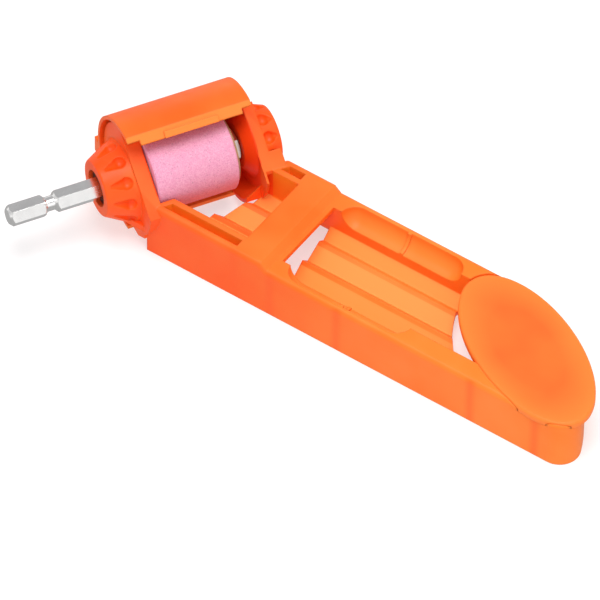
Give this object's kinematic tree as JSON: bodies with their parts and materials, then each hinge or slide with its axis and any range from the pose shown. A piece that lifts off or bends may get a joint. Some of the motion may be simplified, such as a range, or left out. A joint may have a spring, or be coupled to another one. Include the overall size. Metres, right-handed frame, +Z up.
{
  "type": "drill bit sharpener",
  "caption": "Hand-held drill bit sharpener: a plastic V-groove trough guides a bit to a guarded grinding wheel on a bearing spindle, driven by a power drill through a hex shank.",
  "frame": {"origin": "middle of the bottom of the whole sharpener's bounds", "axes": "+X along the trough from the wheel to the thumb pad, +Y across the trough, +Z up"},
  "size_m": [0.1916, 0.0816, 0.0401],
  "materials": {
    "orange_plastic": "moulded satin",
    "pad_plastic": "fine grain",
    "guard_plastic": "moulded satin",
    "pink_abrasive": "coarse grain",
    "tan_fibre": "fibre",
    "bright_steel": "ground",
    "dark_steel": "machined",
    "cage_brass": "pressed"
  },
  "bodies": {
    "body": {"body_shell": "orange_plastic", "thumb_pad": "pad_plastic", "left_bearing_outer_race": "dark_steel", "left_bearing_shields": "dark_steel", "right_bearing_outer_race": "dark_steel", "right_bearing_shields": "dark_steel"},
    "spindle": {"spindle": "bright_steel", "retaining_ring": "dark_steel", "drive_collar": "dark_steel", "collar_screw": "dark_steel", "left_fibre_washer": "tan_fibre", "grinding_wheel": "pink_abrasive", "right_fibre_washer": "tan_fibre", "clamp_washer": "dark_steel", "clamp_nut": "dark_steel", "left_bearing_inner_race": "dark_steel", "right_bearing_inner_race": "dark_steel"},
    "left_ball_ring": {"left_bearing_balls": "dark_steel", "left_bearing_cage": "cage_brass"},
    "right_ball_ring": {"right_bearing_balls": "dark_steel", "right_bearing_cage": "cage_brass"},
    "guard": {"wheel_guard": "guard_plastic"}
  },
  "joints": [
    {"name": "spindle_turn", "type": "hinge", "parent": "body", "child": "spindle", "pos_m": [-0.06287, 0.01111, 0.01935], "axis": [0.515, 0.8572, 0], "continuous": true},
    {"name": "left_balls_turn", "type": "hinge", "parent": "body", "child": "left_ball_ring", "pos_m": [-0.06287, 0.01111, 0.01935], "axis": [0.515, 0.8572, 0], "continuous": true},
    {"name": "right_balls_turn", "type": "hinge", "parent": "body", "child": "right_ball_ring", "pos_m": [-0.06287, 0.01111, 0.01935], "axis": [0.515, 0.8572, 0], "continuous": true},
    {"name": "guard_pull", "type": "slide", "parent": "body", "child": "guard", "axis": [-0.8572, 0.515, 0], "range_m": [0, 0.04]}
  ],
  "couplings": [
    {"joint": "left_balls_turn", "follows": "spindle_turn", "ratio": 0.4118},
    {"joint": "right_balls_turn", "follows": "spindle_turn", "ratio": 0.4007}
  ]
}
